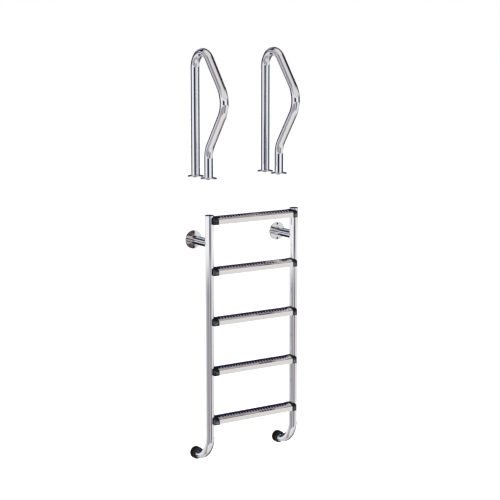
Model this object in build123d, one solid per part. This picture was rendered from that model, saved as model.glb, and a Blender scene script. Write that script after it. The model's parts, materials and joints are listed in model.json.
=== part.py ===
"""Split boarding ladder: a wall-hung ladder of five treads and two separate deck handrails.

Frame, in millimetres: the origin lies on the wall plane, midway between the two wall flanges.
+X runs along the treads to the climber's right, +Y goes into the wall and +Z is up.
"""
import os
from math import cos, radians, sin, tan

from build123d import *

# ---- driving dimensions ----
TUBE_R = 21.5                  # 43 mm tube everywhere
TUBE_WALL = 1.5
STRINGER_HALF = 250.0          # half the distance between the stringer axes
STAND_OFF = 150.0              # stringer axis in front of the wall
STRINGER_TOP = 136.0           # top of the tubes above the flange axis
FOOT_AXIS = -1088.0            # height of the bumper axis
FOOT_BEND_R = 118.0

TREAD_COUNT = 5
TREAD_PITCH = 250.0
TREAD_TOP = 118.0              # shoulder line of the top tread
TREAD_FRONT = -40.0            # tread edges, measured from the stringer axis along Y
TREAD_REAR = 40.0
TREAD_FACE = 23.0              # height of the flat front and rear faces
TREAD_CROWN = 13.0             # rise of the crowned top above the shoulder line
TREAD_SHOULDER_R = 5.0
TREAD_SHEET = 1.5
TREAD_LIP = 12.0               # inward lips along the bottom

CAP_OUTER = 4.0                # cap ends, measured inwards from the stringer axis
CAP_INNER = 30.0
CAP_PROUD = 1.5                # cap outline beyond the tread's
CAP_CORNER_R = 5.0
CAP_WEB_END = 34.0             # face that the screw's washer bears on
TONGUE_END = 52.0
TONGUE_GAP = 0.3
PANEL_DEPTH = 1.0              # sunk panels in the cap's front, rear and end faces
PANEL_RIM = 4.0                # rim left round each sunk panel
SADDLE_GAP = 0.2
SCREW_DROP = 6.0               # screw axis below the shoulder line

PLUG_RIM = 2.5
PLUG_SPIGOT = 12.0
BUMPER_R = 31.0
BUMPER_LENGTH = 32.0
BUMPER_FLOOR = 8.5             # rubber between the tube end and the wall
FLANGE_R = 46.0
FLANGE_T = 5.0
FLANGE_HOLE_R = 5.5
FLANGE_HOLE_SPACING = 74.0
WELD_GAP = 0.1                 # the coped arm stands this far off the stringer

DECK_Z = 305.0                 # underside of the handrail base plates
HANDRAIL_HALF = 207.5          # half the distance between the handrails
FRONT_POST_Y = -78.0
POST_SPACING = 122.0
HANDRAIL_HEIGHT = 630.0        # overall, above the deck
ARCH_R = 74.0
KNEE_FORWARD = 292.0           # corner of the knee in front of the rear post
KNEE_R = 112.0
SHIN_R = 110.0
UPPER_SLOPE = 38.0             # degrees from vertical
LOWER_SLOPE = 35.5
BASE_R = 40.0
BASE_T = 5.0
BASE_HOLE_R = 4.5
BASE_PCD = 62.0
BASE_HOLES = 3

# M8 screw, washer and blind threaded insert
SCREW_R = 3.95
SCREW_LENGTH = 28.0
HEAD_AF = 13.0
HEAD_T = 5.3
WASHER_R = 8.0
WASHER_T = 1.6
INSERT_BORE_R = 4.0
INSERT_R = 5.5
INSERT_FLANGE_R = 6.5
INSERT_FLANGE_END = 22.5       # measured inwards from the stringer axis, like all that follow
INSERT_INNER_END = 6.0
INSERT_BULGE_R = 6.8
INSERT_BULGE = (13.0, 18.5)
POCKET_HALF = 11.0

TREAD_HEIGHTS = [TREAD_TOP - TREAD_PITCH * step for step in range(TREAD_COUNT)]


def rod_x(radius, x_from, x_to):
    """Cylinder along X, on the X axis."""
    length = x_to - x_from
    return Pos((x_from + x_to) / 2, 0, 0) * Rot(0, 90, 0) * Cylinder(radius, length)


def rod_y(radius, y_from, y_to):
    """Cylinder along Y, on the Y axis."""
    length = y_to - y_from
    return Pos(0, (y_from + y_to) / 2, 0) * Rot(90, 0, 0) * Cylinder(radius, length)


def rod_z(radius, z_from, z_to):
    """Cylinder along Z, on the Z axis."""
    return Pos(0, 0, (z_from + z_to) / 2) * Cylinder(radius, z_to - z_from)


def block(x_span, y_span, z_span):
    """Box between the given limits."""
    spans = (x_span, y_span, z_span)
    centre = [(low + high) / 2 for low, high in spans]
    return Pos(*centre) * Box(*[high - low for low, high in spans])


def bent_tube(points, bend_radii):
    """Tube along straight runs joined by tangent bends."""
    path = FilletPolyline(*points, radius=bend_radii)
    section = Plane(origin=path @ 0, z_dir=path % 0) * (Circle(TUBE_R) - Circle(TUBE_R - TUBE_WALL))
    return sweep(section, path=path)


def tread_outline():
    """Cross-section outline of a tread in the YZ plane, with the shoulder line at Z = 0."""
    middle = (TREAD_FRONT + TREAD_REAR) / 2
    crown = ThreePointArc((TREAD_FRONT, 0), (middle, TREAD_CROWN), (TREAD_REAR, 0))
    sides = Polyline((TREAD_REAR, 0), (TREAD_REAR, -TREAD_FACE), (TREAD_FRONT, -TREAD_FACE), (TREAD_FRONT, 0))
    outline = make_face(crown + sides)
    shoulders = outline.vertices().sort_by(Axis.Y)[-2:]
    return fillet(shoulders, TREAD_SHOULDER_R)


def along_x(sketch, x_from, x_to):
    """Extrude a YZ sketch between two X stations."""
    return Pos(x_from, 0, 0) * extrude(Plane.YZ * sketch, amount=x_to - x_from)


def tread():
    """Folded sheet channel with a crowned top, open below between two lips."""
    outline = tread_outline()
    slot_width = TREAD_REAR - TREAD_FRONT - 2 * TREAD_LIP
    slot_centre = ((TREAD_FRONT + TREAD_REAR) / 2, -TREAD_FACE)
    slot = Pos(*slot_centre) * Rectangle(slot_width, 3 * TREAD_SHEET)
    sheet = outline - offset(outline, -TREAD_SHEET) - slot
    half = STRINGER_HALF - CAP_INNER
    return along_x(sheet, -half, half)


def cap_panel(y_face, depth):
    """Cutter for the sunk panel in the cap's front or rear face."""
    width = CAP_INNER - CAP_OUTER - 2 * PANEL_RIM + 1
    height = TREAD_FACE + CAP_PROUD - 2 * PANEL_RIM
    centre = ((CAP_OUTER + CAP_INNER) / 2 + 0.5, y_face, -(TREAD_FACE + CAP_PROUD) / 2 - 0.5)
    panel = RectangleRounded(width, height, 2.0)
    return Pos(*centre) * extrude(Plane.XZ * panel, amount=depth, both=True)


def end_panel():
    """Cutter for the sunk panel in the cap's outer end, with a rim along the edge and round the tube."""
    panel = along_x(offset(tread_outline(), CAP_PROUD - PANEL_RIM), CAP_OUTER - 1, CAP_OUTER + PANEL_DEPTH)
    return panel - rod_z(TUBE_R + PANEL_RIM, -2 * TREAD_FACE, 2 * TREAD_FACE)


def end_cap():
    """Moulded cap that saddles the stringer and reaches into the tread, about the left stringer's axis."""
    outline = tread_outline()
    front, rear = TREAD_FRONT - CAP_PROUD, TREAD_REAR + CAP_PROUD
    head = along_x(offset(outline, CAP_PROUD), CAP_OUTER, CAP_INNER)
    centre = ((CAP_OUTER + CAP_INNER) / 2, (front + rear) / 2)
    plan = Pos(*centre) * Rectangle(CAP_INNER - CAP_OUTER, rear - front)
    plan = fillet(plan.vertices().sort_by(Axis.X)[:2], CAP_CORNER_R)
    head = head & Pos(0, 0, -2 * TREAD_FACE) * extrude(plan, amount=4 * TREAD_FACE)
    for face in (front, rear):
        head -= cap_panel(face, PANEL_DEPTH)
    head -= end_panel()
    tongue = along_x(offset(outline, -TREAD_SHEET - TONGUE_GAP), CAP_INNER, TONGUE_END)
    cap = head + tongue
    cap -= rod_z(TUBE_R + SADDLE_GAP, -2 * TREAD_FACE, 2 * TREAD_FACE)
    cap -= block((CAP_WEB_END, TONGUE_END + 1), (-POCKET_HALF, POCKET_HALF), (-2 * TREAD_FACE, 2.0))
    screw_hole = rod_x(SCREW_R + 0.35, 0, TONGUE_END)
    insert_clearance = rod_x(INSERT_FLANGE_R + 0.4, 0, INSERT_FLANGE_END + 0.3)
    return cap - Pos(0, 0, -SCREW_DROP) * (screw_hole + insert_clearance)


def tread_screw():
    """Hexagon-head screw along X, head towards the middle of the tread."""
    seat = CAP_WEB_END + WASHER_T
    hexagon = RegularPolygon(HEAD_AF / 2, 6, major_radius=False)
    head = Pos(seat, 0, 0) * extrude(Plane.YZ * hexagon, amount=HEAD_T)
    crown_cone = Pos(seat + HEAD_T / 2, 0, 0) * Rot(0, 90, 0) * Cylinder(HEAD_AF / 2 + 0.6, HEAD_T)
    return (head & crown_cone) + rod_x(SCREW_R, seat - SCREW_LENGTH, seat)


def tread_washer():
    """Plain washer under the screw head."""
    seat = CAP_WEB_END
    return rod_x(WASHER_R, seat, seat + WASHER_T) - rod_x(SCREW_R + 0.25, seat - 1, seat + WASHER_T + 1)


def tread_insert():
    """Blind threaded insert, set in the inner wall of the stringer."""
    flange = rod_x(INSERT_FLANGE_R, TUBE_R - 3, INSERT_FLANGE_END) - rod_z(TUBE_R, -20, 20)
    body = rod_x(INSERT_R, INSERT_INNER_END, INSERT_FLANGE_END)
    bulge = rod_x(INSERT_BULGE_R, *INSERT_BULGE)
    return flange + body + bulge - rod_x(INSERT_BORE_R, 0, 2 * TUBE_R)


def stringer():
    """Left stringer: straight down, then a quarter bend to the wall, with one insert hole for each tread."""
    points = [(0, -STAND_OFF, STRINGER_TOP), (0, -STAND_OFF, FOOT_AXIS), (0, -BUMPER_FLOOR - 0.5, FOOT_AXIS)]
    tube = bent_tube(points, [FOOT_BEND_R])
    for height in TREAD_HEIGHTS:
        tube -= Pos(0, -STAND_OFF, height - SCREW_DROP) * rod_x(INSERT_R + 0.05, TUBE_R / 2, TUBE_R + 5)
    return tube


def stringer_plug():
    """Flat plug in the open top of a stringer."""
    rim = fillet(rod_z(TUBE_R, 0, PLUG_RIM).edges().sort_by(Axis.Z)[-1:], 1.0)
    spigot_r = TUBE_R - TUBE_WALL - 0.1
    plug = rim + rod_z(spigot_r, -PLUG_SPIGOT, 0) - rod_z(spigot_r - 3, -PLUG_SPIGOT - 1, -2)
    return Pos(0, -STAND_OFF, STRINGER_TOP) * plug


def bumper():
    """Rubber cup on the stringer's foot, its closed end flat on the wall."""
    cup = rod_y(BUMPER_R, -BUMPER_LENGTH, 0)
    cup = fillet(cup.edges().sort_by(Axis.Y)[-1:], 6.0)
    cup = fillet(cup.edges().sort_by(Axis.Y)[:1], 3.5)
    cup -= rod_y(TUBE_R + 0.05, -BUMPER_LENGTH - 1, -BUMPER_FLOOR)
    return Pos(0, 0, FOOT_AXIS) * cup


def bracket_arm():
    """Horizontal tube, coped to the stringer and ending on the flange."""
    arm = rod_y(TUBE_R, -STAND_OFF, -FLANGE_T) - rod_y(TUBE_R - TUBE_WALL, -STAND_OFF - 1, 0)
    return arm - Pos(0, -STAND_OFF, 0) * rod_z(TUBE_R + WELD_GAP, -2 * TUBE_R, 2 * TUBE_R)


def wall_flange():
    """Round wall plate with one bolt hole above and one below the arm."""
    plate = rod_y(FLANGE_R, -FLANGE_T, 0)
    plate = fillet(plate.edges().sort_by(Axis.Y)[:1], 1.2)
    for side in (-1, 1):
        plate -= Pos(0, 0, side * FLANGE_HOLE_SPACING / 2) * rod_y(FLANGE_HOLE_R, -FLANGE_T - 1, 1)
    return plate


def handrail():
    """Bent handrail in its own YZ plane: rear post, arch, slope to the knee, and back to the front post."""
    rear_y = FRONT_POST_Y + POST_SPACING
    foot_z = DECK_Z + BASE_T
    arch_centre_z = DECK_Z + HANDRAIL_HEIGHT - TUBE_R - ARCH_R
    arch_corner_z = arch_centre_z + ARCH_R * tan(radians(90 - UPPER_SLOPE / 2))
    knee_z = arch_corner_z - KNEE_FORWARD / tan(radians(UPPER_SLOPE))
    shin_z = knee_z - (KNEE_FORWARD - POST_SPACING) / tan(radians(LOWER_SLOPE))
    points = [
        (0, rear_y, foot_z),
        (0, rear_y, arch_corner_z),
        (0, rear_y - KNEE_FORWARD, knee_z),
        (0, FRONT_POST_Y, shin_z),
        (0, FRONT_POST_Y, foot_z),
    ]
    return bent_tube(points, [ARCH_R, KNEE_R, SHIN_R])


def base_plate(y):
    """Round base plate under a handrail post."""
    plate = fillet(rod_z(BASE_R, 0, BASE_T).edges().sort_by(Axis.Z)[-1:], 1.0)
    for index in range(BASE_HOLES):
        angle = radians(90 + 360 / BASE_HOLES * index)
        centre = (BASE_PCD / 2 * cos(angle), BASE_PCD / 2 * sin(angle), 0)
        plate -= Pos(*centre) * rod_z(BASE_HOLE_R, -1, BASE_T + 1)
    return Pos(0, y, DECK_Z) * plate


def on_left(shape, half_spacing):
    """Place a shape modelled about X = 0 on the left side."""
    return Pos(-half_spacing, 0, 0) * shape


def on_right(shape, half_spacing):
    """Mirror image of the left side."""
    return mirror(on_left(shape, half_spacing), about=Plane.YZ)


def at_tread(shape, height):
    """Place a shape modelled about the left stringer's axis and a tread's shoulder line."""
    return Pos(0, -STAND_OFF, height) * shape


def fastener_group(shape):
    """Ten equal pieces, two for each tread, as separate solids."""
    solids = []
    for height in TREAD_HEIGHTS:
        placed = at_tread(Pos(0, 0, -SCREW_DROP) * shape, height)
        solids += [on_left(placed, STRINGER_HALF).solid(), on_right(placed, STRINGER_HALF).solid()]
    return Compound(solids)


def build_nodes():
    """Every node of the ladder by name."""
    nodes = {}
    sides = {"left": on_left, "right": on_right}
    pairs = {
        "stringer": (stringer(), STRINGER_HALF),
        "stringer_plug": (stringer_plug(), STRINGER_HALF),
        "bumper": (bumper(), STRINGER_HALF),
        "bracket_arm": (bracket_arm(), STRINGER_HALF),
        "wall_flange": (wall_flange(), STRINGER_HALF),
        "handrail": (handrail(), HANDRAIL_HALF),
        "front_base_plate": (base_plate(FRONT_POST_Y), HANDRAIL_HALF),
        "rear_base_plate": (base_plate(FRONT_POST_Y + POST_SPACING), HANDRAIL_HALF),
    }
    for side, place in sides.items():
        for name, (shape, half_spacing) in pairs.items():
            nodes[f"{side}_{name}"] = place(shape, half_spacing)
    tread_shape = tread()
    cap_shape = end_cap()
    for number, height in enumerate(TREAD_HEIGHTS, start=1):
        nodes[f"tread_{number}"] = at_tread(tread_shape, height)
        for side, place in sides.items():
            nodes[f"tread_{number}_{side}_cap"] = place(at_tread(cap_shape, height), STRINGER_HALF)
    nodes["tread_screws"] = fastener_group(tread_screw())
    nodes["tread_washers"] = fastener_group(tread_washer())
    nodes["tread_inserts"] = fastener_group(tread_insert())
    return nodes


os.makedirs("parts", exist_ok=True)
for node_name, node_shape in build_nodes().items():
    export_step(node_shape, f"parts/{node_name}.step")
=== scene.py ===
"""Studio scene of the split boarding ladder: finishes, small details, lights and camera round the CAD."""
import json
from math import cos, pi, radians, sin, sqrt

import bpy
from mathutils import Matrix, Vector


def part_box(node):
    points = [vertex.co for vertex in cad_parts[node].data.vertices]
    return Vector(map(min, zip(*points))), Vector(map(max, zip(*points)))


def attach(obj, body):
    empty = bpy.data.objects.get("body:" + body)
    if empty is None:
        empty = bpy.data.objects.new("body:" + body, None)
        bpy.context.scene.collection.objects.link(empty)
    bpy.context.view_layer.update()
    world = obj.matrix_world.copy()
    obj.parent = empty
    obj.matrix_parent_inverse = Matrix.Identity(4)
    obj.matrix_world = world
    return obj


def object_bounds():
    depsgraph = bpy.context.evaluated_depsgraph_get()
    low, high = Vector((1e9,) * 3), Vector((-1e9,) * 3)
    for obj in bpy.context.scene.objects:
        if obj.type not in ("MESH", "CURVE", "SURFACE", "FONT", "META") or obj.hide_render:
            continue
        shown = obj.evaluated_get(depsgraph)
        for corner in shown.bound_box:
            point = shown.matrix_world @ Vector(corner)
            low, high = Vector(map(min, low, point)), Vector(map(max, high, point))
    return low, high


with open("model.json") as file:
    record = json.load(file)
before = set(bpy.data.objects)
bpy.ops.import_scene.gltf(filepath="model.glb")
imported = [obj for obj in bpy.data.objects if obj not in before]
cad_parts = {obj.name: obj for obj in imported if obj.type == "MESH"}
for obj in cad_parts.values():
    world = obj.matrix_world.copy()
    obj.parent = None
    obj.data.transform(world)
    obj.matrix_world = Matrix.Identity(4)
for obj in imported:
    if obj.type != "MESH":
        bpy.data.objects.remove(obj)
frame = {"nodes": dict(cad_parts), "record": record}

CAD_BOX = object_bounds()
NODES = frame["nodes"]
SIDES = ("left", "right")
TREADS = range(1, 6)

# ---------------------------------------------------------------- node helpers


class Nodes:
    """Short way to build a node tree. Every value is a number, a colour or another node's output."""

    def __init__(self, tree):
        self.tree = tree
        tree.nodes.clear()

    def add(self, kind, inputs=None, **settings):
        node = self.tree.nodes.new(kind)
        for name, value in settings.items():
            setattr(node, name, value)
        for key, value in (inputs or {}).items():
            self.feed(node.inputs[key], value)
        return node

    def feed(self, socket, value):
        if isinstance(value, bpy.types.NodeSocket):
            self.tree.links.new(value, socket)
        else:
            socket.default_value = value

    def place(self):
        """Where a point lies in the ladder's frame."""
        return self.add("ShaderNodeTexCoord").outputs["Object"]

    def split(self, vector):
        return self.add("ShaderNodeSeparateXYZ", {0: vector}).outputs

    def math(self, operation, *values, clamp=False):
        node = self.add("ShaderNodeMath", operation=operation, use_clamp=clamp)
        for socket, value in zip(node.inputs, values):
            self.feed(socket, value)
        return node.outputs[0]

    def slope(self, value, low, high, first=0.0, last=1.0, **settings):
        """first below low, last above high and a slope between them."""
        inputs = {0: value, 1: low, 2: high, 3: first, 4: last}
        return self.add("ShaderNodeMapRange", inputs, **settings).outputs[0]

    def band(self, value, low, high, edge):
        """1 between low and high, falling to 0 over edge on each side."""
        rise = self.slope(value, low - edge, low + edge, interpolation_type="SMOOTHSTEP")
        fall = self.slope(value, high - edge, high + edge, interpolation_type="SMOOTHSTEP")
        return self.math("SUBTRACT", rise, fall, clamp=True)

    def mix(self, factor, first, second):
        node = self.add("ShaderNodeMix", data_type="RGBA")
        self.feed(node.inputs[0], factor)
        self.feed(node.inputs[6], first)
        self.feed(node.inputs[7], second)
        return node.outputs[2]

    def ramp(self, factor, low, high, colours):
        """The first colour below low and the last above high."""
        node = self.add("ShaderNodeValToRGB", {0: factor})
        for element, place, colour in zip(node.color_ramp.elements, (low, high), colours):
            element.position = place
            element.color = colour
        return node.outputs[0]

    def noise(self, vector, scale, detail, roughness=0.5):
        inputs = {"Vector": vector, "Scale": scale, "Detail": detail, "Roughness": roughness}
        return self.add("ShaderNodeTexNoise", inputs).outputs[0]

    def bump(self, height, strength, distance):
        inputs = {"Height": height, "Strength": strength, "Distance": distance}
        return self.add("ShaderNodeBump", inputs).outputs[0]

    def surface(self, inputs):
        shader = self.add("ShaderNodeBsdfPrincipled", inputs)
        self.add("ShaderNodeOutputMaterial", {"Surface": shader.outputs[0]})


def grey(value):
    return (value, value, value, 1.0)


def new_material(name):
    material = bpy.data.materials.new(name)
    material.use_nodes = True
    return material, Nodes(material.node_tree)


# ---------------------------------------------------------------- steel

HAZE_SCALE = 9.0                         # noise scales are per metre
SPOT_SCALE = 55.0
LINE_SCALE = (900.0, 900.0, 30.0)        # polishing lines run along Z
HAZE_SHARE = 0.7                         # the rest of the wear is spots
WEAR_SPAN = (0.35, 0.65)                 # wear that gives the least and the most roughness
DULL_TINT = 0.93                         # how much darker the haze makes the steel
HAZE_STRENGTH = 0.8
LINE_BUMP = 0.02
LINE_DEPTH = 0.0002

# painted reflection: brown painted on the outer half of the left wall flange in place of a dark reflection
PAINTED_REFLECTION_BROWN = (0.130, 0.095, 0.100, 1)
PAINTED_REFLECTION_PAST_MIDDLE = 0.006              # the brown reaches this far past the flange's middle
PAINTED_REFLECTION_EDGE = 0.008
PAINTED_REFLECTION_RAGGED = 0.03
ARM_IMAGE_RISE = 0.002                   # the arm's reflection lies this far above the flange's middle
ARM_IMAGE_SPAN = (0.013, 0.023)          # from inside it to clear of it
ARM_IMAGE_BROWN = 0.25                   # share of the brown inside it
PLATE_SLACK = 0.001


def painted_reflection_half(build, place, spots):
    """Mask of the brown painted reflection on the outer half of the left wall flange, weaker where it
    reflects the bracket arm.
    """
    x, y, z = build.split(place)
    low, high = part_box("left_wall_flange")
    middle = (low + high) / 2
    outward = build.math("SUBTRACT", middle.x + PAINTED_REFLECTION_PAST_MIDDLE, x)
    ragged = build.math("MULTIPLY", build.math("SUBTRACT", spots, 0.5), PAINTED_REFLECTION_RAGGED)
    mask = build.slope(build.math("ADD", outward, ragged), -PAINTED_REFLECTION_EDGE, PAINTED_REFLECTION_EDGE)
    near_wall = build.math("GREATER_THAN", y, low.y - PLATE_SLACK)
    below_deck = build.math("LESS_THAN", z, high.z + PLATE_SLACK)
    mask = build.math("MULTIPLY", mask, build.math("MULTIPLY", near_wall, below_deck))
    from_arm = build.math("ABSOLUTE", build.math("SUBTRACT", z, middle.z + ARM_IMAGE_RISE))
    beside_arm = build.slope(from_arm, *ARM_IMAGE_SPAN, ARM_IMAGE_BROWN, 1.0)
    return build.math("MULTIPLY", mask, beside_arm)


def polished_steel(name, tint, smooth, rough, painted_reflection=False):
    """Polished stainless steel: soft polish haze, faint wipe marks and fine polishing lines.

    smooth and rough are the least and the most roughness. The last argument paints a brown reflection on the
    outer half of the left wall flange.
    """
    material, build = new_material(name)
    place = build.place()
    haze = build.noise(place, HAZE_SCALE, detail=4.0, roughness=0.6)
    spots = build.noise(place, SPOT_SCALE, detail=2.0)
    stretched = build.add("ShaderNodeMapping", {"Vector": place, "Scale": LINE_SCALE}).outputs[0]
    lines = build.noise(stretched, scale=1.0, detail=3.0)
    hazy = build.math("MULTIPLY", haze, HAZE_SHARE)
    spotty = build.math("MULTIPLY", spots, 1 - HAZE_SHARE)
    dull = tuple(channel * DULL_TINT for channel in tint[:3]) + (1.0,)
    colour = build.mix(build.math("MULTIPLY", haze, HAZE_STRENGTH), tint, dull)
    # painted reflection: brown over the outer half of the left wall flange
    if painted_reflection:
        colour = build.mix(painted_reflection_half(build, place, spots), colour, PAINTED_REFLECTION_BROWN)
    build.surface({
        "Base Color": colour,
        "Metallic": 1.0,
        "Roughness": build.slope(build.math("ADD", hazy, spotty), *WEAR_SPAN, smooth, rough),
        "Normal": build.bump(lines, LINE_BUMP, LINE_DEPTH),
    })
    return material


# ---------------------------------------------------------------- plastic, rubber and floor

PANEL_DEPTH = 0.001                      # sunk panels in the tread caps
PANEL_REACH = 0.0003
PANEL_GLOSS = 0.5                        # roughness that the panels lose
PLUG_RIM = 0.0024                        # visible rim of the stringer plugs
PLASTIC_BLACKS = ((0.0015, 0.0015, 0.002, 1), (0.006, 0.006, 0.008, 1))
# paler colours of the sunk panels: a painted highlight
PANEL_PAINTED_HIGHLIGHTS = ((0.010, 0.011, 0.014, 1), (0.070, 0.074, 0.080, 1))
PLUG_NAVY = (0.010, 0.008, 0.036, 1)


def dark_plastic():
    """Black moulded plastic with a fine grain, rubbed patches and smoother sunk panels painted paler as a
    highlight.
    """
    material, build = new_material("black_moulded_plastic")
    place = build.place()
    grain = build.noise(place, scale=900.0, detail=2.0)
    rub = build.noise(place, scale=40.0, detail=4.0)
    x, y, z = build.split(place)
    low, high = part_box("tread_1_left_cap")
    end = build.math("COMPARE", build.math("ABSOLUTE", x), -low.x - PANEL_DEPTH, PANEL_REACH)
    front = build.math("COMPARE", y, low.y + PANEL_DEPTH, PANEL_REACH)
    rear = build.math("COMPARE", y, high.y - PANEL_DEPTH, PANEL_REACH)
    sunk = build.math("MAXIMUM", end, build.math("MAXIMUM", front, rear))
    black = build.ramp(rub, 0.35, 0.75, PLASTIC_BLACKS)
    # painted highlight: the sunk panels are painted paler than the black plastic
    panel_highlight = build.ramp(rub, 0.38, 0.66, PANEL_PAINTED_HIGHLIGHTS)
    lid = build.math("GREATER_THAN", z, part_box("left_stringer_plug")[1].z - PLUG_RIM)
    matt = build.slope(rub, low=0.3, high=0.7, first=0.34, last=0.48)
    gloss = build.math("SUBTRACT", 1.0, build.math("MULTIPLY", sunk, PANEL_GLOSS))
    build.surface({
        "Base Color": build.mix(lid, build.mix(sunk, black, panel_highlight), PLUG_NAVY),
        "Roughness": build.math("MULTIPLY", matt, gloss),
        "Normal": build.bump(grain, strength=0.15, distance=0.0002),
        "Specular IOR Level": 0.06,
    })
    return material


MOUTH_RING = (0.0240, 0.0275)            # paler ring painted on the bumpers' mouths, measured from the tube axis
MOUTH_EDGE = 0.0012
MOUTH_DEPTH = 0.002
RUBBER_BLACKS = ((0.0015, 0.0015, 0.0015, 1), (0.006, 0.006, 0.005, 1))
# greys of the paler ring painted on the bumpers' mouths
RUBBER_RING_GREYS = ((0.030, 0.028, 0.023, 1), (0.060, 0.056, 0.046, 1))


def black_rubber():
    """Moulded rubber: matt, with a pebbled skin and a paler ring painted on the bumpers' mouths."""
    material, build = new_material("moulded_rubber")
    place = build.place()
    pebble = build.add("ShaderNodeTexVoronoi", {"Vector": place, "Scale": 700.0}).outputs[0]
    blotch = build.noise(place, scale=60.0, detail=5.0)
    low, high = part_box("left_bumper")
    x, y, z = build.split(place)
    aside = build.math("SUBTRACT", build.math("ABSOLUTE", x), -(low.x + high.x) / 2)
    above = build.math("SUBTRACT", z, (low.z + high.z) / 2)
    squares = build.math("ADD", build.math("MULTIPLY", aside, aside), build.math("MULTIPLY", above, above))
    mouth = build.band(build.math("SQRT", squares), *MOUTH_RING, MOUTH_EDGE)
    mouth = build.math("MULTIPLY", mouth, build.math("LESS_THAN", y, low.y + MOUTH_DEPTH))
    black = build.ramp(blotch, 0.40, 0.75, RUBBER_BLACKS)
    # paler ring painted on the bumpers' mouths
    pale_ring = build.ramp(blotch, 0.35, 0.75, RUBBER_RING_GREYS)
    build.surface({
        "Base Color": build.mix(mouth, black, pale_ring),
        "Roughness": build.slope(blotch, low=0.3, high=0.7, first=0.50, last=0.70),
        "Normal": build.bump(pebble, strength=0.25, distance=0.0003),
        "Specular IOR Level": 0.12,
    })
    return material


def floor_material():
    """Pale studio floor with a barely visible mottle."""
    material, build = new_material("pale_floor")
    mottle = build.noise(build.place(), scale=1.5, detail=3.0)
    pale = build.ramp(mottle, 0.3, 0.7, (grey(0.93), grey(0.95)))
    build.surface({"Base Color": pale, "Roughness": 0.9})
    return material


# ---------------------------------------------------------------- finishes

TUBE_TINT = (0.93, 0.93, 0.94, 1)
PLATE_TINT = (0.90, 0.90, 0.92, 1)
TREAD_TINT = (0.93, 0.925, 0.92, 1)
MATERIALS = {
    "polished_tube": polished_steel("polished_tube_steel", TUBE_TINT, 0.015, 0.045),
    "polished_plate": polished_steel("polished_plate_steel", PLATE_TINT, 0.008, 0.025, painted_reflection=True),
    "tread_steel": polished_steel("tread_sheet_steel", TREAD_TINT, 0.015, 0.045),
    "fastener_steel": polished_steel("fastener_steel", (0.62, 0.62, 0.63, 1), 0.22, 0.35),
    "dark_plastic": dark_plastic(),
    "black_rubber": black_rubber(),
}
RIB_STEEL = polished_steel("pressed_rib_steel", (0.74, 0.68, 0.64, 1), 0.42, 0.55)
WELD_STEEL = polished_steel("weld_bead_steel", (0.70, 0.68, 0.66, 1), 0.12, 0.25)


def paint_nodes():
    """Give every CAD node the finish of its record slot."""
    for entry in frame["record"]["subparts"]:
        mesh = NODES[entry["node"]].data
        mesh.materials.clear()
        mesh.materials.append(MATERIALS[entry["material_slot"]])


# ---------------------------------------------------------------- small details


def add_piece(name, vertices, faces, material):
    """Smooth mesh that rides the ladder's only body."""
    mesh = bpy.data.meshes.new(name)
    mesh.from_pydata(vertices, [], faces)
    mesh.polygons.foreach_set("use_smooth", [True] * len(mesh.polygons))
    mesh.materials.append(material)
    piece = bpy.data.objects.new(name, mesh)
    bpy.context.scene.collection.objects.link(piece)
    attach(piece, "root")


# rows of ribs on a tread: front and back edge from the tread's middle, rise and finish
RIB_ROWS = (
    (-0.0365, -0.0150, 0.0016, RIB_STEEL),
    (-0.0040, 0.0200, 0.0008, MATERIALS["tread_steel"]),
)
RIB_PITCH = 0.0165
RIB_HALF_WIDTH = 0.0035
RIB_SUNK = 0.0003                        # a rib's edge lies this far below the sheet's surface
RIB_MARGIN = 0.012                       # first rib from the end of the sheet
RIB_BLUNTNESS = 2.2                      # how soon a rib rises from its ends
RIB_ACROSS = 6                           # steps over a rib's width
RIB_ALONG = 9                            # and over its length
TREAD_CROWN = 0.013


def rib_faces(start):
    """Faces of one closed rib whose vertices begin at start, its top layer before its bottom one."""
    row = RIB_ACROSS + 1
    under = row * (RIB_ALONG + 1)
    faces = []
    for i in range(RIB_ALONG):
        for j in range(RIB_ACROSS):
            corner = start + i * row + j
            faces.append((corner, corner + 1, corner + row + 1, corner + row))
            faces.append(tuple(under + v for v in (corner, corner + row, corner + row + 1, corner + 1)))
    ring = list(range(row)) + [i * row + RIB_ACROSS for i in range(1, RIB_ALONG + 1)]
    ring += [RIB_ALONG * row + j for j in range(RIB_ACROSS - 1, -1, -1)]
    ring += [i * row for i in range(RIB_ALONG - 1, 0, -1)]
    for first, second in zip(ring, ring[1:] + ring[:1]):
        faces.append((start + second, start + first, start + under + first, start + under + second))
    return faces


def tread_ribs(number, row_index):
    """One row of pressed anti-slip ribs on a tread's crown, the second row between the first's ribs."""
    row_front, row_back, row_rise, finish = RIB_ROWS[row_index]
    low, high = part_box(f"tread_{number}")
    middle = (low.y + high.y) / 2
    half = (high.y - low.y) / 2
    crown_radius = (half * half + TREAD_CROWN * TREAD_CROWN) / (2 * TREAD_CROWN)
    ribs = int(2 * (high.x - RIB_MARGIN) / RIB_PITCH) - row_index
    vertices, faces = [], []

    def add_layer(x_middle, is_top):
        for i in range(RIB_ALONG + 1):
            y = middle + row_front + (row_back - row_front) * i / RIB_ALONG
            crown = high.z - crown_radius + sqrt(crown_radius ** 2 - (y - middle) ** 2)
            for j in range(RIB_ACROSS + 1):
                x = x_middle + RIB_HALF_WIDTH * (2 * j / RIB_ACROSS - 1)
                swell = sin(pi * j / RIB_ACROSS) * min(1.0, RIB_BLUNTNESS * sin(pi * i / RIB_ALONG))
                rise = row_rise * swell - RIB_SUNK if is_top else -2 * RIB_SUNK
                vertices.append((x, y, crown + rise))

    for k in range(ribs):
        x_middle = (k - (ribs - 1) / 2) * RIB_PITCH
        faces += rib_faces(len(vertices))
        add_layer(x_middle, is_top=True)
        add_layer(x_middle, is_top=False)
    add_piece(f"tread_{number}_ribs_{row_index + 1}", vertices, faces, finish)


BEAD_RADIUS = 0.0016
BEAD_STEPS = 144
BEAD_AROUND = 10
BEAD_RIPPLES = 36
RIPPLE_HEIGHT = 0.10                     # share of the bead's radius


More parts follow.
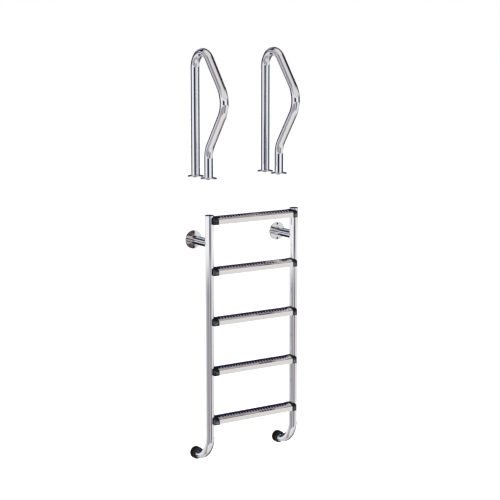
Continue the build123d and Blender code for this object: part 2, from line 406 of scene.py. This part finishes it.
def bead(name, path):
    """Closed weld bead: a rippled round section swept along a closed path of (point, outward) pairs."""
    vertices, faces = [], []
    for k, (point, outward) in enumerate(path):
        following = (k + 1) % BEAD_STEPS
        along = (path[following][0] - path[k - 1][0]).normalized()
        outward = (outward - along * outward.dot(along)).normalized()
        third = along.cross(outward)
        size = BEAD_RADIUS * (1 + RIPPLE_HEIGHT * sin(2 * pi * BEAD_RIPPLES * k / BEAD_STEPS))
        here, there = k * BEAD_AROUND, following * BEAD_AROUND
        for j in range(BEAD_AROUND):
            angle = 2 * pi * j / BEAD_AROUND
            across = (j + 1) % BEAD_AROUND
            vertices.append(point + (outward * cos(angle) + third * sin(angle)) * size)
            faces.append((here + j, here + across, there + across, there + j))
    add_piece(name, vertices, faces, WELD_STEEL)


def ring_path(centre, radius, first, second):
    """Circle about centre in the plane of two unit directions."""
    path = []
    for k in range(BEAD_STEPS):
        angle = 2 * pi * k / BEAD_STEPS
        outward = first * cos(angle) + second * sin(angle)
        path.append((centre + outward * radius, outward))
    return path


def weld_beads():
    """Beads where the arms meet the stringers and flanges and where the posts stand on their plates."""
    right, inward, up = Vector((1, 0, 0)), Vector((0, 1, 0)), Vector((0, 0, 1))
    for side in SIDES:
        arm_low, arm_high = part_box(f"{side}_bracket_arm")
        tube_radius = (arm_high.z - arm_low.z) / 2
        axis = (arm_low + arm_high) / 2
        plug_low, plug_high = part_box(f"{side}_stringer_plug")
        arm_back = Vector((axis.x, arm_high.y, axis.z))
        bead(f"{side}_flange_weld", ring_path(arm_back, tube_radius, right, up))
        on_stringer = Vector((axis.x, (plug_low.y + plug_high.y) / 2, axis.z))
        saddle = []
        for point, outward in ring_path(on_stringer, tube_radius, right, up):
            lift = sqrt(max(tube_radius ** 2 - (point.x - axis.x) ** 2, 0.0))
            saddle.append((point + inward * lift, outward + inward))
        bead(f"{side}_arm_weld", saddle)
        for post in ("front", "rear"):
            plate_low, plate_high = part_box(f"{side}_{post}_base_plate")
            foot = (plate_low + plate_high) / 2
            foot.z = plate_high.z
            bead(f"{side}_{post}_post_weld", ring_path(foot, tube_radius, right, inward))


WALL_BOLTS = next(mount["dims"] for mount in frame["record"]["mounts"] if mount["name"] == "wall_bolts")
FLANGE_HOLE_SPACING = WALL_BOLTS["spacing_y_mm"] / 1000
FLANGE_HOLE_RADIUS = WALL_BOLTS["hole_r_mm"] / 1000
DISC_SLACK = 0.0001
DISC_STEPS = 32
# section of a disc from the middle of its front to the middle of its back: share of its radius, and distance
# from the wall
DISC_SECTION = ((0.0, 0.0016), (0.6, 0.0018), (0.9, 0.0022), (1.0, 0.0018), (1.0, 0.0006), (0.0, 0.0004))


def disc_mesh(middle, radius):
    """Vertices and faces of a disc on the wall at middle, its section turned about the Y direction."""
    vertices, faces, rings = [], [], []
    for share, distance in DISC_SECTION:
        corners = DISC_STEPS if share else 1
        rings.append(range(len(vertices), len(vertices) + corners))
        for k in range(corners):
            angle = 2 * pi * k / DISC_STEPS
            reach = share * radius
            vertices.append(middle + Vector((reach * cos(angle), -distance, reach * sin(angle))))
    for inner, outer in zip(rings, rings[1:]):
        for k in range(DISC_STEPS):
            following = (k + 1) % DISC_STEPS
            if len(inner) == 1:
                faces.append((inner[0], outer[k], outer[following]))
            elif len(outer) == 1:
                faces.append((inner[following], inner[k], outer[0]))
            else:
                faces.append((inner[k], outer[k], outer[following], inner[following]))
    return vertices, faces


def shade_discs_in_holes():
    """Thin dished dark discs at the back of the flange holes: painted shade that darkens the holes."""
    for side in SIDES:
        low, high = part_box(f"{side}_wall_flange")
        centre = (low + high) / 2
        for level, sign in (("lower", -1), ("upper", 1)):
            middle = Vector((centre.x, high.y, centre.z + sign * FLANGE_HOLE_SPACING / 2))
            # painted shade: a dark disc at the back of the hole
            vertices, faces = disc_mesh(middle, FLANGE_HOLE_RADIUS - DISC_SLACK)
            name = f"{side}_flange_{level}_hole_disc"
            add_piece(name, vertices, faces, MATERIALS["dark_plastic"])


# ---------------------------------------------------------------- camera

CAMERA_AZIMUTH = -33.5
CAMERA_ELEVATION = 9.64
CAMERA_DISTANCE = 7.0
CAMERA_LENS = 101.9
CAMERA_SENSOR = 36.0
AIM_ASIDE = -0.014                       # from the middle of the ladder
AIM_DROP = 0.1495                        # below the top tread's lower edge


def add_camera():
    """Camera that looks at a point in the plane of the stringers."""
    plug_low, plug_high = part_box("left_stringer_plug")
    target = Vector((AIM_ASIDE, (plug_low.y + plug_high.y) / 2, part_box("tread_1")[0].z - AIM_DROP))
    azimuth, elevation = radians(CAMERA_AZIMUTH), radians(CAMERA_ELEVATION)
    back = Vector((sin(azimuth) * cos(elevation), -cos(azimuth) * cos(elevation), sin(elevation)))
    data = bpy.data.cameras.new("camera")
    data.lens = CAMERA_LENS
    data.sensor_width = CAMERA_SENSOR
    data.clip_end = 200.0
    camera = bpy.data.objects.new("camera", data)
    camera.location = target + back * CAMERA_DISTANCE
    camera.rotation_mode = "QUATERNION"
    camera.rotation_quaternion = (-back).to_track_quat("-Z", "Y")
    bpy.context.scene.collection.objects.link(camera)
    bpy.context.scene.camera = camera


# ---------------------------------------------------------------- light and stage

PAST_END = 400.0                         # a turn beyond the half circle, for a card with no edge there
ALL_ROUND = (-PAST_END, PAST_END)
FLOOR_HEIGHTS = (-40.0, -10.4)
TOP_HEIGHTS = (-10.4, -7.6)
NAVY = (0.006, 0.008, 0.045, 1)
BARE_STUDIO = (0.74, 0.72, 0.71, 1)      # where there is no card
# Studio cards, which only reflections see, later ones over earlier ones: turn from the camera and height,
# both in degrees, colour and softness of the edges.
CARDS = (
    # floor near the ladder, seen in the feet and in the lower slopes of the handrails
    (ALL_ROUND, (-95.0, -36.0), (0.62, 0.60, 0.59, 1), 6.0),
    ((112.0, PAST_END), (-72.0, -36.0), (0.16, 0.16, 0.22, 1), 6.0),
    ((-48.0, 74.0), (-95.0, -36.0), (0.80, 0.79, 0.77, 1), 8.0),
    ((-92.0, -58.0), (-95.0, -22.0), (0.42, 0.33, 0.29, 1), 8.0),
    # floor further off, seen in the upright tubes of the ladder
    (ALL_ROUND, FLOOR_HEIGHTS, (0.76, 0.80, 0.83, 1), 4.0),
    ((-88.0, 90.0), FLOOR_HEIGHTS, (0.40, 0.37, 0.41, 1), 5.0),
    ((-32.0, -9.0), FLOOR_HEIGHTS, (0.28, 0.25, 0.25, 1), 3.0),
    ((-5.0, 13.0), FLOOR_HEIGHTS, (0.66, 0.65, 0.67, 1), 2.0),
    ((17.0, 46.0), FLOOR_HEIGHTS, (0.12, 0.12, 0.15, 1), 2.0),
    ((46.0, 92.0), FLOOR_HEIGHTS, (0.77, 0.76, 0.755, 1), 2.0),
    # just below the horizon, seen in the top of the stringers
    (ALL_ROUND, TOP_HEIGHTS, (0.95, 0.95, 0.96, 1), 1.0),
    ((-1.0, 25.0), TOP_HEIGHTS, (0.008, 0.008, 0.016, 1), 1.0),
    ((25.0, 52.0), TOP_HEIGHTS, (0.34, 0.34, 0.40, 1), 1.5),
    ((60.0, 74.0), TOP_HEIGHTS, (0.76, 0.745, 0.735, 1), 1.5),
    # at the horizon, seen in the handrails
    (ALL_ROUND, (-7.6, 10.0), (0.92, 0.92, 0.94, 1), 1.0),
    ((-35.0, 15.0), (-7.6, 7.0), (0.024, 0.026, 0.060, 1), 1.0),
    ((80.0, PAST_END), (-7.6, 10.0), (0.20, 0.235, 0.35, 1), 2.0),
    # above the horizon, seen in the sloping tubes
    ((-116.0, -44.0), (10.0, 46.0), (0.42, 0.40, 0.45, 1), 4.0),
    ((-70.0, -42.0), (32.0, 46.0), (0.20, 0.18, 0.18, 1), 3.0),
    ((100.0, 140.0), (18.0, 50.0), (0.040, 0.034, 0.040, 1), 3.0),
    # overhead, seen in the front half of the treads
    ((62.0, 124.0), (40.0, 62.0), (0.17, 0.14, 0.13, 1), 2.0),
)
CARD_HEIGHT_EDGE = 1.0                   # softest that a card's lower and upper edges get
# Dark backdrop behind the ladder, over the cards: turn on either side where it starts, heights and colour.
BACKDROP = (
    (93.0, (-7.6, 4.0), (0.008, 0.014, 0.075, 1)),
    (119.0, (4.0, 19.0), NAVY),
    (110.0, (19.0, 49.5), NAVY),
    (118.0, (-40.0, -18.5), (0.008, 0.008, 0.020, 1)),
    (124.0, (49.5, 64.0), (0.36, 0.315, 0.295, 1)),
)
BACKDROP_EDGES = (3.0, 1.5)              # softness in turn and in height
# Paler strip over the backdrop, seen along the top of the bracket arms: turn, heights, colour and softness.
ARM_STRIP = ((-168.0, -138.0), (14.0, 40.0), (0.42, 0.44, 0.50, 1), (3.0, 2.0))
CAMERA_WHITE = 1.0
DIFFUSE_WHITE = 1.25                     # makes the floor come out white


def studio_world():
    """Studio surroundings: white for the camera and for soft light, and banded cards for reflections."""
    world = bpy.data.worlds.new("studio")
    world.use_nodes = True
    bpy.context.scene.world = world
    build = Nodes(world.node_tree)
    x, y, z = build.split(build.add("ShaderNodeTexCoord").outputs["Generated"])
    bearing = build.math("ARCTAN2", x, build.math("MULTIPLY", y, -1.0))
    turn = build.math("SUBTRACT", build.math("MULTIPLY", bearing, 180 / pi), CAMERA_AZIMUTH)
    turn = build.math("WRAP", turn, 180.0, -180.0)
    height = build.math("MULTIPLY", build.math("ARCSINE", z), 180 / pi)
    sky = BARE_STUDIO
    for turn_span, height_span, colour, edge in CARDS:
        across = build.band(turn, *turn_span, edge)
        upward = build.band(height, *height_span, min(edge, CARD_HEIGHT_EDGE))
        sky = build.mix(build.math("MULTIPLY", across, upward), sky, colour)
    for limit, height_span, colour in BACKDROP:
        beside = build.math("SUBTRACT", 1.0, build.band(turn, -limit, limit, BACKDROP_EDGES[0]))
        upward = build.band(height, *height_span, BACKDROP_EDGES[1])
        sky = build.mix(build.math("MULTIPLY", beside, upward), sky, colour)
    turn_span, height_span, colour, edges = ARM_STRIP
    across = build.band(turn, *turn_span, edges[0])
    upward = build.band(height, *height_span, edges[1])
    sky = build.mix(build.math("MULTIPLY", across, upward), sky, colour)
    rays = build.add("ShaderNodeLightPath").outputs
    lit = build.mix(rays["Is Diffuse Ray"], grey(CAMERA_WHITE), grey(DIFFUSE_WHITE))
    seen = build.mix(rays["Is Glossy Ray"], lit, sky)
    shine = build.add("ShaderNodeBackground", {"Color": seen, "Strength": 1.0})
    build.add("ShaderNodeOutputWorld", {"Surface": shine.outputs[0]})


def softbox(name, place, width, power):
    """Square area light aimed at the origin, not seen in reflections."""
    data = bpy.data.lights.new(name, "AREA")
    data.shape = "RECTANGLE"
    data.size = width
    data.size_y = width
    data.energy = power
    light = bpy.data.objects.new(name, data)
    light.location = place
    light.rotation_mode = "QUATERNION"
    light.rotation_quaternion = (-Vector(place)).to_track_quat("-Z", "Y")
    light.visible_glossy = False
    bpy.context.scene.collection.objects.link(light)


FLOOR_DROP = 0.05                        # below the bumpers
FLOOR_HALF = 40.0


def add_floor():
    """Wide pale floor a little under the bumpers."""
    level = CAD_BOX[0].z - FLOOR_DROP
    corners = [(x * FLOOR_HALF, y * FLOOR_HALF, level) for x, y in ((-1, -1), (1, -1), (1, 1), (-1, 1))]
    mesh = bpy.data.meshes.new("floor")
    mesh.from_pydata(corners, [], [(0, 1, 2, 3)])
    mesh.materials.append(floor_material())
    floor = bpy.data.objects.new("floor", mesh)
    floor.visible_glossy = False
    bpy.context.scene.collection.objects.link(floor)


# ---------------------------------------------------------------- the scene

paint_nodes()
for tread_number in TREADS:
    for row in range(len(RIB_ROWS)):
        tread_ribs(tread_number, row)
weld_beads()
shade_discs_in_holes()
add_camera()
studio_world()
softbox("key_softbox", place=(-2.6, -3.4, 3.4), width=2.4, power=260)
softbox("top_softbox", place=(0.8, -0.6, 4.2), width=3.0, power=180)
add_floor()
bpy.context.scene.view_settings.view_transform = "Standard"
